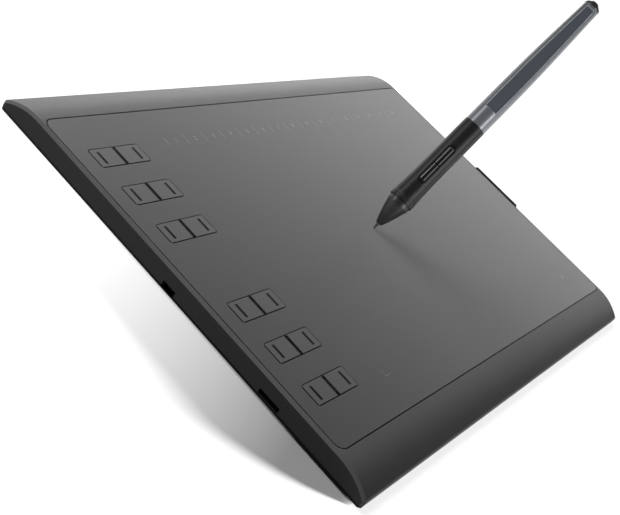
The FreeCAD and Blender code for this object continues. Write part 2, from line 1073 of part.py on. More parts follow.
def button_cap(front):
    """One side button: a half of the slot's outline, with a finger channel and a stem."""
    width = slot_width - 2 * button_gap
    low, high = slot_start + button_gap, slot_end - button_gap
    middle = (low + high) / 2
    keep_low = low - 1 if front else middle + button_split / 2
    keep_high = middle - button_split / 2 if front else high + 1
    block = stadium(width, low, high, 12.0)
    block = block.common(box(-12, -button_inner, -width, width, keep_low, keep_high))
    block = block.common(grip_outside(button_proud))
    channel_axis = -(grip_waist_radius + button_proud - button_channel_depth + button_channel_radius)
    channel_low = slot_start + button_channel_inset
    channel_high = slot_end - button_channel_inset
    channel_ends = [Vector(channel_axis, 0, z) for z in (channel_low, channel_high)]
    channel = rod(button_channel_radius, channel_low, channel_high, channel_axis)
    channel = fuse([channel] + [Part.makeSphere(button_channel_radius, end) for end in channel_ends])
    block = block.cut(channel)
    flange_half = width / 2 + button_flange
    flange_low = low - button_flange if front else middle + button_split / 2
    flange_high = middle - button_split / 2 if front else high + button_flange
    flange = box(
        -button_inner - button_flange_thickness,
        -button_inner,
        -flange_half,
        flange_half,
        flange_low,
        flange_high,
    )
    stem_end = pen_board_face - pen_switch_height - button_travel - 0.05
    stem_z = button_stem_place(front)
    stem = Part.makeCylinder(
        button_stem_radius, button_inner + 0.2 + stem_end, Vector(stem_end, 0, stem_z), Vector(-1, 0, 0)
    )
    return fuse([block, flange, stem])


def button_stem_place(front):
    """The station of a side button's stem, over its switch."""
    quarter = (slot_end - slot_start) / 4
    return slot_start + quarter * (1.25 if front else 2.8)


def pen_board():
    """The pen's circuit board."""
    return box(
        pen_board_face,
        pen_board_face + pen_board_thickness,
        -pen_board_width / 2,
        pen_board_width / 2,
        pen_board_start,
        pen_board_end,
    )


def pen_switches():
    """The two switches under the side buttons."""
    switches = []
    for front in (True, False):
        z = button_stem_place(front)
        switches.append(
            box(
                pen_board_face - pen_switch_height,
                pen_board_face,
                -pen_switch_width / 2,
                pen_switch_width / 2,
                z - pen_switch_length / 2,
                z + pen_switch_length / 2,
            )
        )
    return Part.makeCompound(switches)


def antenna_coil():
    """The coil round the ferrite core, as a plain sleeve."""
    return tube(coil_outer_radius, coil_inner_radius, coil_start, coil_end)


def pressure_sensor():
    """The puck that the core presses on."""
    return rod(sensor_puck_radius, sensor_puck_start, pen_board_start)


def pen_carrier():
    """The half tube that carries the coil, the sensor and the board inside the grip."""
    outer = grip_bore_radius - carrier_gap
    shell = tube(outer, outer - carrier_thickness, carrier_start, carrier_end)
    face = pen_board_face + pen_board_thickness
    return shell.common(box(face, 10, -10, 10, carrier_start, carrier_end))


def barrel_outside():
    """The rear barrel's long taper."""
    return turned_curve(
        [
            (barrel_start_radius, grip_end),
            (barrel_shoulder_radius, barrel_shoulder),
            (barrel_middle_radius, barrel_middle),
            (barrel_taper_radius, barrel_taper),
            (barrel_end_radius, barrel_end),
        ]
    )


def facet_slope():
    """How much nearer to the axis the facet comes for each millimetre of station."""
    return (facet_start_height - facet_end_height) / (facet_end - facet_start)


def facet_height(station):
    """The facet's distance from the pen's axis at a station."""
    return facet_start_height - facet_slope() * (station - facet_start)


def barrel_radius(station):
    """The barrel's radius at a station, along straight lines between its named stations."""
    points = [
        (grip_end, barrel_start_radius),
        (barrel_shoulder, barrel_shoulder_radius),
        (barrel_middle, barrel_middle_radius),
        (barrel_taper, barrel_taper_radius),
        (barrel_end, barrel_end_radius),
    ]
    for (s0, r0), (s1, r1) in zip(points, points[1:]):
        if station <= s1:
            return r0 + (r1 - r0) * (station - s0) / (s1 - s0)
    return barrel_end_radius


def facet_block(z0, z1, sink, half_widths):
    """A block that starts at the facet, sunk by a depth, and runs out along -X.

    half_widths gives its half width at z0 and at z1.
    """
    h0, h1 = facet_height(z0) - sink, facet_height(z1) - sink
    w0, w1 = half_widths
    corners = [Vector(-h0, -w0, z0), Vector(-h0, w0, z0), Vector(-h1, w1, z1), Vector(-h1, -w1, z1)]
    face = Part.Face(Part.makePolygon(corners + [corners[0]]))
    return face.extrude(Vector(-12, 0, 0))


def panel_half_width(station):
    """Half the width of the panel's pocket at a station."""
    return math.sqrt(barrel_radius(station) ** 2 - facet_height(station) ** 2) - panel_inset


def panel_block(gap, sink, radius):
    """The panel's outline as a block, smaller by a gap all round, with rounded ends."""
    z0 = facet_start + panel_inset + gap
    z1 = facet_end - panel_inset - gap
    block = facet_block(z0, z1, sink, (panel_half_width(z0) - gap, panel_half_width(z1) - gap))
    ends = [
        edge
        for edge in block.Edges
        if edge.BoundBox.XLength > 5 and edge.BoundBox.ZLength < 1e-4 and edge.BoundBox.YLength < 1e-4
    ]
    return block.makeFillet(radius, ends)


def pen_barrel():
    """The rear shell: a taper with a long flat facet and a pocket for the panel."""
    outside = barrel_outside()
    facet = facet_block(facet_start, facet_end, 0.0, (10, 10))
    pocket = panel_block(0.0, panel_thickness, panel_corner_radius)
    inside = turned(
        [
            (barrel_shoulder_radius - barrel_front_wall, grip_end - 1),
            (barrel_shoulder_radius - barrel_front_wall, facet_start - 1),
            (facet_start_height - panel_thickness - barrel_wall, facet_start),
            (barrel_bore_end, facet_end),
            (barrel_bore_end, barrel_end + 1),
        ]
    )
    spigot = tube(
        grip_bore_radius - carrier_gap, grip_bore_radius - carrier_gap - 0.8, carrier_end + 0.1, grip_end + 0.2
    )
    return fuse([outside.cut([facet, pocket, inside]), spigot])


def barrel_panel():
    """The dark panel let into the barrel's facet."""
    z0, z1 = facet_start - 5, facet_end + 5
    top = facet_block(z0, z1, panel_sink, (10, 10))
    return panel_block(panel_gap, panel_thickness, panel_corner_radius - panel_gap).cut(top)


def end_cap():
    """The dark cap on the pen's tail, with a stem inside the barrel."""
    cap = turned_curve(
        [
            (barrel_end_radius, barrel_end),
            (barrel_end_radius - 0.25, barrel_end + 1.6),
            (cap_crown_radius + 0.5, pen_length - 0.5),
            (cap_crown_radius, pen_length),
        ]
    )
    stem = rod(barrel_bore_end - cap_stem_gap, barrel_end - cap_stem_length, barrel_end + 0.2)
    return fuse([cap, stem])


def pen_placement():
    """Stands the pen on its nib at the point of contact, leaning the way that a hand holds it."""
    lean = Rotation(Vector(0, 1, 0), pen_lean)
    heading = Rotation(Vector(0, 0, 1), pen_heading)
    roll = Rotation(Vector(0, 0, 1), pen_roll)
    place = Vector(nib_point_x, nib_point_y, top_z + nib_gap)
    return Placement(place, heading.multiply(lean).multiply(roll))


def pen_pieces():
    """Every piece of the pen, upright on its nib."""
    return {
        "pen_nib": pen_nib(),
        "nib_core": nib_core(),
        "pen_cone": pen_cone(),
        "cone_ring": cone_ring(),
        "pen_grip": pen_grip(),
        "pen_button_front": button_cap(True),
        "pen_button_rear": button_cap(False),
        "pen_board": pen_board(),
        "pen_switches": pen_switches(),
        "antenna_coil": antenna_coil(),
        "pressure_sensor": pressure_sensor(),
        "pen_carrier": pen_carrier(),
        "pen_barrel": pen_barrel(),
        "barrel_panel": barrel_panel(),
        "pen_end_cap": end_cap(),
    }


def tablet_pieces():
    """Every piece of the tablet."""
    pieces = {
        "top_cover": top_cover(),
        "bottom_cover": bottom_cover(),
        "drawing_sheet": drawing_sheet(),
        "sensor_board": sensor_board(),
        "shield_plate": shield_plate(),
        "foam_strips": foam_strips(),
        "control_board": control_board(),
        "control_chips": control_chips(),
        "switch_housings": switch_housings(),
        "usb_socket": usb_socket(),
        "card_socket": card_socket(),
        "ribbon_cable": ribbon_cable(),
        "ribbon_sockets": ribbon_sockets(),
        "pen_loop": pen_loop(),
        "loop_anchor": loop_anchor(),
        "rubber_feet": rubber_feet(),
        "case_screws": case_screws(),
        "board_screws": board_screws(),
    }
    for number, side, y in key_places():
        pieces[f"express_key_{number:02d}"] = key_cap(side, y)
        pieces[f"switch_plunger_{number:02d}"] = switch_plunger(side, y)
    return pieces


def main():
    os.makedirs("parts", exist_ok=True)
    pieces = tablet_pieces()
    placement = pen_placement()
    for name, shape in pen_pieces().items():
        placed = shape.copy()
        placed.Placement = placement.multiply(placed.Placement)
        pieces[name] = placed
    for name, shape in sorted(pieces.items()):
        for solid in shape.Solids:
            if not solid.isValid() or solid.Volume <= 0:
                print("bad solid in", name)
        print(f"{name}: {len(shape.Solids)} solid(s), {shape.Volume:.1f} mm3")
        shape.exportStep(f"parts/{name}.step")
    axis = placement.Rotation.multVec(Vector(0, 0, 1))
    press = placement.Rotation.multVec(Vector(1, 0, 0))
    print("pen axis", tuple(round(v, 6) for v in axis))
    print("button press", tuple(round(v, 6) for v in press))


main()
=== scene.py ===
"""The looks of a wired graphics tablet and its pen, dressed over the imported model."""

import json
import math

import bmesh
import bpy
from bpy.props import FloatProperty, FloatVectorProperty, IntProperty, PointerProperty
from mathutils import Matrix, Vector


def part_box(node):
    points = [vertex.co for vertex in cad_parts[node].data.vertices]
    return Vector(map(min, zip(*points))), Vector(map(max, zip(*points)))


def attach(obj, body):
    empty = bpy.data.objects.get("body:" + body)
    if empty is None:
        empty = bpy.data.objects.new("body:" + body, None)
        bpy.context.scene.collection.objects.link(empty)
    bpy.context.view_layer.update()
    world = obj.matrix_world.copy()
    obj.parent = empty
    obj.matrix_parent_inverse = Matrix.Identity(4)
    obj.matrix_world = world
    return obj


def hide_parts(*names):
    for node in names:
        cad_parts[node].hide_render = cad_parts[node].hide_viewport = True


bl_info = {
    "name": "Graphics Tablet Looks",
    "version": (1, 0, 0),
    "blender": (4, 5, 0),
    "location": "3D View > Sidebar > Tablet",
    "description": "Finishes and small pieces for a graphics tablet with a pen",
    "category": "Object",
}

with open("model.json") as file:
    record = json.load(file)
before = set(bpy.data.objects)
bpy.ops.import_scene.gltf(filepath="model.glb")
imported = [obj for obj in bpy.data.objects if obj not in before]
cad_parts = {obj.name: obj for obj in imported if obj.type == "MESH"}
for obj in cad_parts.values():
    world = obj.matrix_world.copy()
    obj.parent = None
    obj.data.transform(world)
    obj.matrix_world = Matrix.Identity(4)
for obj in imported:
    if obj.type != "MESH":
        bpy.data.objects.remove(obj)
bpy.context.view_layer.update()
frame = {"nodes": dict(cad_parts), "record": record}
NODES = frame["nodes"]
MM = 0.001
SHEET_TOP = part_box("drawing_sheet")[1].z
PEN_BODIES = ("pen", "nib", "front_button", "rear_button")
SEEING = ("Camera", "Glossy", "Transmission")
KEY_FLANGE = 0.8 * MM  # how far a key's hidden rim reaches past its cap
KEY_NUMBERS = tuple(f"{number:02d}" for number in range(1, 13))


def colour_property(name, description, default):
    """A colour that a user can change."""
    return FloatVectorProperty(
        name=name,
        description=description,
        subtype="COLOR",
        size=3,
        min=0.0,
        max=1.0,
        default=default,
    )


def length_property(name, description, millimetres):
    """A length that a user can change, given here in millimetres."""
    return FloatProperty(
        name=name, description=description, unit="LENGTH", default=millimetres * MM
    )


def angle_property(name, description, degrees):
    """An angle that a user can change, given here in degrees."""
    return FloatProperty(
        name=name, description=description, subtype="ANGLE", default=math.radians(degrees)
    )


def power_property(name, description, default):
    """How strong a lamp is, where a user can change it."""
    return FloatProperty(name=name, description=description, min=0.0, default=default)


class CaseLooks(bpy.types.PropertyGroup):
    """Colours of the case, its sheet and its keys."""

    cover: colour_property("Top cover", "Moulded upper shell", (0.107, 0.107, 0.109))
    # Also the painted shade on the top cover's upright ends.
    base: colour_property("Bottom cover", "Moulded lower shell", (0.026, 0.026, 0.027))
    sheet: colour_property("Sheet", "Drawing sheet", (0.115, 0.115, 0.116))
    key: colour_property("Keys", "Express key caps", (0.172, 0.172, 0.174))
    # Black of the key bars, and painted shade on the key rims, round the bars and in the card
    # slot's way in.
    mark: colour_property("Black", "Key bars and rims, card slot's way in", (0.003, 0.003, 0.003))
    # Painted shade: the size of the black painted round a bar, in its pocket.
    bar_shade_width: length_property("Mark width", "Width of the black round a bar", 1.9)
    bar_shade_length: length_property("Mark length", "Length of the black round a bar", 7.8)
    # Painted shade: this black edge stands in for the shade in the gaps round a key.
    rim: length_property("Key rim", "Black edge round each key cap", 0.2)
    rubber: colour_property("Feet", "Rubber feet", (0.018, 0.018, 0.018))
    # Painted shade: how far the cover's darker upright ends reach in.
    end_shade_depth: length_property("End depth", "How deep the dark of the cover's ends goes in", 0.1)
    grain: FloatProperty(name="Grain", description="Texture grains per metre", default=2600.0)


class PrintLooks(bpy.types.PropertyGroup):
    """The numbered strip and the corner marks printed on the sheet."""

    ink: colour_property("Ink", "Printed marks", (0.3, 0.3, 0.302))
    first_tick: length_property("First tick", "Where the strip starts along X", -109.5)
    pitch: length_property("Pitch", "Width of one numbered cell", 16.1)
    cells: IntProperty(name="Cells", description="Numbered cells in the strip", default=16)
    strip_y: length_property("Strip height", "Middle of the strip along Y", 76.5)
    tick: length_property("Tick", "Length of a tick", 6.4)
    line: length_property("Line", "Width of a printed line", 0.3)
    number: length_property("Number", "Size of the numbers", 3.9)
    area_left: length_property("Area left", "Left end of the drawing area", -109.0)
    area_right: length_property("Area right", "Right end of the drawing area", 146.9)
    area_front: length_property("Area front", "Front edge of the drawing area", -80.3)
    film: length_property("Film", "Thickness of the ink", 0.02)


class StrapLooks(bpy.types.PropertyGroup):
    """The woven pen loop."""

    thread: colour_property("Thread", "Woven elastic", (0.004, 0.004, 0.0045))
    rib_pitch: length_property("Rib pitch", "Distance between the ribs across the strap", 1.25)
    pick_pitch: length_property("Pick pitch", "Distance between the threads that cross it", 0.95)
    relief: length_property("Relief", "How far a rib stands out", 0.09)


class PenLooks(bpy.types.PropertyGroup):
    """Colours of the pen, and how it stands."""

    grip: colour_property("Grip", "Soft grip", (0.014, 0.014, 0.0145))
    cone: colour_property("Cone", "Front cone and collar", (0.02, 0.02, 0.021))
    barrel: colour_property("Barrel", "Rear barrel", (0.185, 0.195, 0.21))
    panel: colour_property("Panel", "Panel in the barrel", (0.088, 0.102, 0.122))
    trim: colour_property("Trim", "Bright edge of the panel", (0.6, 0.63, 0.66))
    point_x: length_property("Point X", "Where the nib stands", -8.1)
    point_y: length_property("Point Y", "Where the nib stands", -4.6)
    point_z: length_property("Point Z", "Height of the nib's tip over the sheet", 0.15)
    lean: angle_property("Lean", "Away from upright", 28.5)
    heading: angle_property("Heading", "Way that it leans, from +X", 4.4)
    roll: angle_property("Roll", "Turn about its own length", 9.2)


class StageLooks(bpy.types.PropertyGroup):
    """Camera, floor and lights."""

    lens: FloatProperty(name="Lens", description="Focal length on a 36 mm sensor", default=68.71)
    floor: length_property("Floor", "Half the floor's width", 20000.0)
    back_power: power_property("Back light", "Power behind the tablet, in watts", 1.8)
    rim_power: power_property("Rim light", "Power of the low light far behind, in watts", 11.5)
    left_power: power_property("Left light", "Power of the cover's left light, in watts", 6.5)
    pen_left: power_property("Pen, left", "Power of the pen's left light, in watts", 4.0)
    pen_right: power_property("Pen, right", "Power of the pen's right light, in watts", 6.0)
    floor_power: power_property("Floor's sun", "Strength of the floor's low sun", 21.0)
    contact_power: power_property("Back sun", "Strength of the floor's sun from behind", 1.1)
    bounce: power_property("Bounce", "Share of its light that the floor throws up", 0.12)
    floor_softness: angle_property("Softness", "How wide the floor's low sun is", 9.0)
    contact_softness: angle_property("Back softness", "How wide the floor's back sun is", 30.0)
    sky: power_property("Sky", "Strength of the even light above", 0.05)
    horizon: power_property("Horizon", "How high the white horizon reaches, of 1", 0.14)
    # Painted light on the floor fades its shadow between these two lines.
    fade_start: length_property("Fade start", "Where the floor's shadow starts to fade", -34.0)
    fade_end: length_property("Fade end", "Where the floor's shadow is gone", 110.0)


class Signal:
    """A value that varies over a surface, held as a node's output, with the usual arithmetic."""

    def __init__(self, nodes, socket):
        self.nodes = nodes
        self.socket = socket

    def combine(self, operation, first, second):
        return self.nodes.node("ShaderNodeMath", {"operation": operation}, {0: first, 1: second})

    def __add__(self, other):
        return self.combine("ADD", self, other)

    def __radd__(self, other):
        return self.combine("ADD", other, self)

    def __sub__(self, other):
        return self.combine("SUBTRACT", self, other)

    def __rsub__(self, other):
        return self.combine("SUBTRACT", other, self)

    def __mul__(self, other):
        return self.combine("MULTIPLY", self, other)

    def __rmul__(self, other):
        return self.combine("MULTIPLY", other, self)

    def __gt__(self, other):
        return self.combine("GREATER_THAN", self, other)

    def __lt__(self, other):
        return self.combine("LESS_THAN", self, other)


class Nodes:
    """A node tree that is built up one node at a time."""

    def __init__(self, tree):
        self.tree = tree

    def node(self, kind, settings, values, output=0):
        """One more node, with its settings and what goes into its sockets."""
        made = self.tree.nodes.new(kind)
        for name, value in settings.items():
            setattr(made, name, value)
        for key, value in values.items():
            self.feed(made.inputs[key], value)
        return Signal(self, made.outputs[output])

    def feed(self, socket, value):
        """Links a signal to a socket, or sets a plain value on it."""
        if isinstance(value, Signal):
            self.tree.links.new(value.socket, socket)
        else:
            socket.default_value = value

    def seen(self):
        """1 for a ray by which the eye sees a thing, directly, in a gloss or through glass."""
        kinds = [self.node("ShaderNodeLightPath", {}, {}, f"Is {kind} Ray") for kind in SEEING]
        return kinds[0] + kinds[1] + kinds[2]


class Finish(Nodes):
    """A material built up on one Principled shader."""

    def __init__(self, name, **constants):
        self.material = bpy.data.materials.new(name)
        self.material.use_nodes = True
        super().__init__(self.material.node_tree)
        self.shader = self.tree.nodes["Principled BSDF"]
        for socket, value in constants.items():
            self.shader.inputs[socket.replace("_", " ")].default_value = value

    def place(self):
        """Where a point of the surface is, in metres."""
        return self.node("ShaderNodeTexCoord", {}, {}, "Object")

    def noise(self, scale, detail=2.0, stretch=(1.0, 1.0, 1.0)):
        """Smooth random patches, scale per metre, drawn out by a stretch."""
        where = self.node("ShaderNodeMapping", {}, {"Vector": self.place(), "Scale": stretch})
        return self.node(
            "ShaderNodeTexNoise", {}, {"Vector": where, "Scale": scale, "Detail": detail}, "Fac"
        )

    def along(self, axis):
        """Where a point of the surface is along one axis, in metres."""
        return self.node("ShaderNodeSeparateXYZ", {}, {"Vector": self.place()}, axis)

    def within(self, low, high):
        """1 inside a rectangle seen from above, and 0 outside it."""
        x, y = self.along("X"), self.along("Y")
        return (x > low.x) * (x < high.x) * (y > low.y) * (y < high.y)

    def cells(self, scale):
        """Random cells, scale per metre."""
        return self.node(
            "ShaderNodeTexVoronoi", {}, {"Vector": self.place(), "Scale": scale}, "Distance"
        )

    def mix(self, factor, first, second):
        """A colour between two colours."""
        values = {"Factor": factor, 6: solid(first), 7: solid(second)}
        return self.node("ShaderNodeMix", {"data_type": "RGBA"}, values, 2)

    def present_colour(self):
        """The colour that the shader has so far."""
        return Signal(self, self.shader.inputs["Base Color"].links[0].from_socket)

    def colour(self, value):
        self.feed(self.shader.inputs["Base Color"], value)
        return self

    def rough(self, value):
        self.feed(self.shader.inputs["Roughness"], value)
        return self

    def relief(self, height, depth, strength=1.0):
        """Stands the surface's grain out by a depth in metres."""
        bump = self.node(
            "ShaderNodeBump", {}, {"Strength": strength, "Distance": depth, "Height": height}
        )
        self.feed(self.shader.inputs["Normal"], bump)
        return self


def solid(colour):
    """A colour with its alpha, or a Signal as it is."""
    return colour if isinstance(colour, Signal) else (*colour[:3], 1.0)


def shaded(colour, factor):
    """A colour made darker or lighter."""
    return tuple(min(1.0, channel * factor) for channel in colour)


def moulded(name, colour, grain, roughness, depth, spread=0.1, **constants):
    """Moulded plastic or rubber: a fine spark-eroded grain over slow patches of tone."""
    finish = Finish(name, **constants)
    fine = finish.noise(grain, 3.0)
    slow = finish.noise(grain / 60, 2.0)
    tone = fine * 0.5 + slow * 0.5
    finish.colour(finish.mix(tone, shaded(colour, 1 - spread), shaded(colour, 1 + spread)))
    finish.rough(roughness - 0.08 + fine * 0.16)
    return finish.relief(fine, depth)


def cover_finish(looks, low, high, slot_low, slot_high):
    """The upper shell: grey, with upright ends painted darker and a way in to the card slot painted
    black, both as painted shade.
    """
    finish = moulded(
        "moulded top cover", looks.cover, looks.grain, 0.45, 0.012 * MM, Specular_IOR_Level=0.08
    )
    grey = finish.present_colour()
    x = finish.along("X")
    # Painted shade: the cover's upright ends take the bottom cover's darker colour, as these side
    # faces lie in shade.
    ends = (x < low.x + looks.end_shade_depth) + (x > high.x - looks.end_shade_depth)
    # Painted shade: the way in to the card slot is painted black, where the opening lies in shade.
    margin = 1.0 * MM
    slot_shade = finish.within(
        Vector((low.x + looks.end_shade_depth, slot_low.y - margin)),
        Vector((slot_high.x, slot_high.y + margin)),
    )
    slot_shade = slot_shade * (finish.along("Z") < slot_high.z + margin / 2)
    finish.colour(finish.mix(slot_shade, finish.mix(ends, grey, looks.base), looks.mark))
    return finish


def sheet_finish(looks):
    """The drawing sheet: a paper-like bite, with faint cloudy tone."""
    finish = Finish("textured drawing sheet", Specular_IOR_Level=0.25)
    bite = finish.noise(looks.grain * 2.2, 4.0)
    slow = finish.noise(9.0, 2.0)
    tone = bite * 0.6 + slow * 0.4
    finish.colour(finish.mix(tone, shaded(looks.sheet, 0.92), shaded(looks.sheet, 1.08)))
    finish.rough(0.36 + bite * 0.12)
    return finish.relief(bite, 0.012 * MM)


def key_finish(looks, low, high, bar):
    """Key caps: satin grey on top. The sides, the rim and the surround of the bar are black:
    painted shade of the gaps between the keys and of the bar's pocket.
    """
    finish = Finish("key cap plastic", Specular_IOR_Level=0.12)
    fine = finish.noise(looks.grain, 3.0)
    grey = finish.mix(fine, shaded(looks.key, 0.94), shaded(looks.key, 1.06))
    # Painted shade: black on the cap's rim, below its top and round its bar, where the gaps and the
    # bar's pocket lie in shade.
    inset = Vector((KEY_FLANGE + looks.rim,) * 2)
    top = finish.within(low.xy + inset, high.xy - inset)
    reach = Vector((looks.bar_shade_width, looks.bar_shade_length)) / 2
    side_depth = 0.3 * MM
    side = finish.along("Z") < high.z - side_depth
    black = 1.0 - top + side + finish.within(bar - reach, bar + reach)
    finish.colour(finish.mix(black, grey, looks.mark))
    finish.rough(0.36 + fine * 0.14)
    return finish.relief(fine, 0.01 * MM)


def metal(name, colour, roughness, stretch=(1.0, 1.0, 1.0), scale=2500.0):
    """Bare or plated metal with fine drawn lines."""
    finish = Finish(name, Metallic=1.0)
    lines = finish.noise(scale, 2.0, stretch)
    finish.colour(finish.mix(lines, shaded(colour, 0.85), shaded(colour, 1.1)))
    finish.rough(roughness - 0.06 + lines * 0.12)
    return finish.relief(lines, 0.004 * MM, 0.6)


def lacquer(name, colour, roughness, metallic, coat):
    """Satin lacquer with a fine flake under a clear coat."""
    finish = Finish(
        name, Metallic=metallic, Coat_Weight=coat, Coat_Roughness=0.2, Specular_IOR_Level=0.3
    )
    flake = finish.cells(2400.0)
    slow = finish.noise(45.0)
    tone = flake * 0.5 + slow * 0.4
    finish.colour(finish.mix(tone, shaded(colour, 1.08), shaded(colour, 0.92)))
    finish.rough(roughness - 0.03 + flake * 0.08)
    return finish.relief(finish.noise(500.0), 0.003 * MM, 0.3)


def woven(looks):
    """Dull thread with a slight sheen."""
    finish = Finish("woven elastic", Sheen_Weight=0.06, Sheen_Roughness=0.4, Specular_IOR_Level=0.2)
    thread = finish.noise(3800.0, 3.0, (1.0, 0.25, 1.0))
    finish.colour(finish.mix(thread, shaded(looks.thread, 0.7), shaded(looks.thread, 1.8)))
    finish.rough(0.7 + thread * 0.2)
    return finish.relief(thread, 0.05 * MM)


def board_finish():
    """Solder mask over copper tracks."""
    finish = Finish("circuit board", Coat_Weight=0.3)
    lanes = finish.node(
        "ShaderNodeTexBrick",
        {"offset": 0.37},
        {
            "Vector": finish.place(),
            "Color1": (0.0, 0.0, 0.0, 1.0),
            "Color2": (0.3, 0.3, 0.3, 1.0),
            "Mortar": (1.0, 1.0, 1.0, 1.0),
            "Scale": 180.0,
            "Mortar Size": 0.03,
        },
        "Fac",
    )
    finish.colour(finish.mix(lanes, (0.008, 0.075, 0.03), (0.05, 0.2, 0.07)))
    finish.rough(0.35 + finish.noise(600.0) * 0.15)
    return finish.relief(lanes, 0.03 * MM)


def wear(finish, *names):
    """Gives CAD pieces a finish."""
    for name in names:
        node = NODES[name]
        node.data.materials.clear()
        node.data.materials.append(finish.material)


def piece(name, mesh, finish, body, smooth=True):
    """A new piece that rides on a body."""
    made = bpy.data.objects.new(name, mesh)
    bpy.context.scene.collection.objects.link(made)
    mesh.materials.append(finish.material)
    mesh.polygons.foreach_set("use_smooth", [smooth] * len(mesh.polygons))
    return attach(made, body)


def mesh_of(name, corners, faces):
    """A mesh from lists of points and faces."""
    mesh = bpy.data.meshes.new(name)
    mesh.from_pydata([tuple(corner) for corner in corners], [], faces)
    mesh.update()
    return mesh


def grid_faces(rows, columns, close_rows=False, close_columns=False):
    """Quads between the points of a grid that is stored row by row."""
    faces = []
    for row in range(rows if close_rows else rows - 1):
        after = (row + 1) % rows
        for column in range(columns if close_columns else columns - 1):
            beside = (column + 1) % columns
            faces.append(
                (
                    row * columns + column,
                    row * columns + beside,
                    after * columns + beside,
                    after * columns + column,
                )
            )
    return faces


def facing_out(mesh):
    """A mesh with all its faces turned outward."""
    build = bmesh.new()
    build.from_mesh(mesh)
    bmesh.ops.recalc_face_normals(build, faces=build.faces)
    build.to_mesh(mesh)
    build.free()
    return mesh


def block_mesh(name, blocks, bevel=0.0):
    """Blocks in one mesh, bevelled or sharp. Each block is (low corner, high corner)."""
    build = bmesh.new()
    for low, high in blocks:
        middle = (Vector(low) + Vector(high)) / 2
        size = Vector(high) - Vector(low)
        place = Matrix.Translation(middle) @ Matrix.Diagonal((*size, 1.0))
        bmesh.ops.create_cube(build, size=1.0, matrix=place)
    if bevel > 0:
        bmesh.ops.bevel(
            build, geom=list(build.edges), offset=bevel, segments=1, affect="EDGES", profile=0.5
        )
    mesh = bpy.data.meshes.new(name)
    build.to_mesh(mesh)
    build.free()
    return mesh


def stadium_mesh(name, width, length, low, high, dome, place, steps=10):
    """A slot-shaped bar along local Y from one height to another, with a domed top."""
    rings = [(0.0, low), (0.0, high - dome), (dome * 0.3, high - dome * 0.3), (dome, high)]
    radius, straight = width / 2, (length - width) / 2
    points = []
    for inset, height in rings:
        for end in (1, -1):
            for step in range(steps + 1):
                turn = math.pi * step / steps + (0.0 if end > 0 else math.pi)
                reach = radius - inset
                x, y = reach * math.cos(turn), end * straight + reach * math.sin(turn)
                points.append(place @ Vector((x, y, height)))
    columns = 2 * (steps + 1)
    faces = grid_faces(len(rings), columns, close_columns=True)
    faces.append(tuple(range(columns))[::-1])
    faces.append(tuple(range((len(rings) - 1) * columns, len(rings) * columns)))
    return mesh_of(name, points, faces)


def pen_place(looks):
    """The pen's own frame: its point at the origin, its length along Z, its buttons on -X."""
    return (
        Matrix.Translation((looks.point_x, looks.point_y, SHEET_TOP + looks.point_z))
        @ Matrix.Rotation(looks.heading, 4, "Z")
        @ Matrix.Rotation(looks.lean, 4, "Y")
        @ Matrix.Rotation(looks.roll, 4, "Z")
    )


class TABLET_OT_case(bpy.types.Operator):
    """Finish the two covers, the feet and the screws"""

    bl_idname = "tablet.case"
    bl_label = "Case"

    def execute(self, context):
        looks = context.scene.tablet_case
        wear(cover_finish(looks, *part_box("top_cover"), *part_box("card_socket")), "top_cover")
        coarse = looks.grain * 0.7
        lower = moulded(
            "moulded bottom cover", looks.base, coarse, 0.6, 0.03 * MM, Specular_IOR_Level=0.1
        )
        wear(lower, "bottom_cover")
        wear(moulded("foot rubber", looks.rubber, looks.grain, 0.8, 0.02 * MM, 0.25), "rubber_feet")
        screw = metal("blackened screw", (0.09, 0.09, 0.092), 0.35)
        wear(screw, "case_screws", "board_screws")
        return {"FINISHED"}


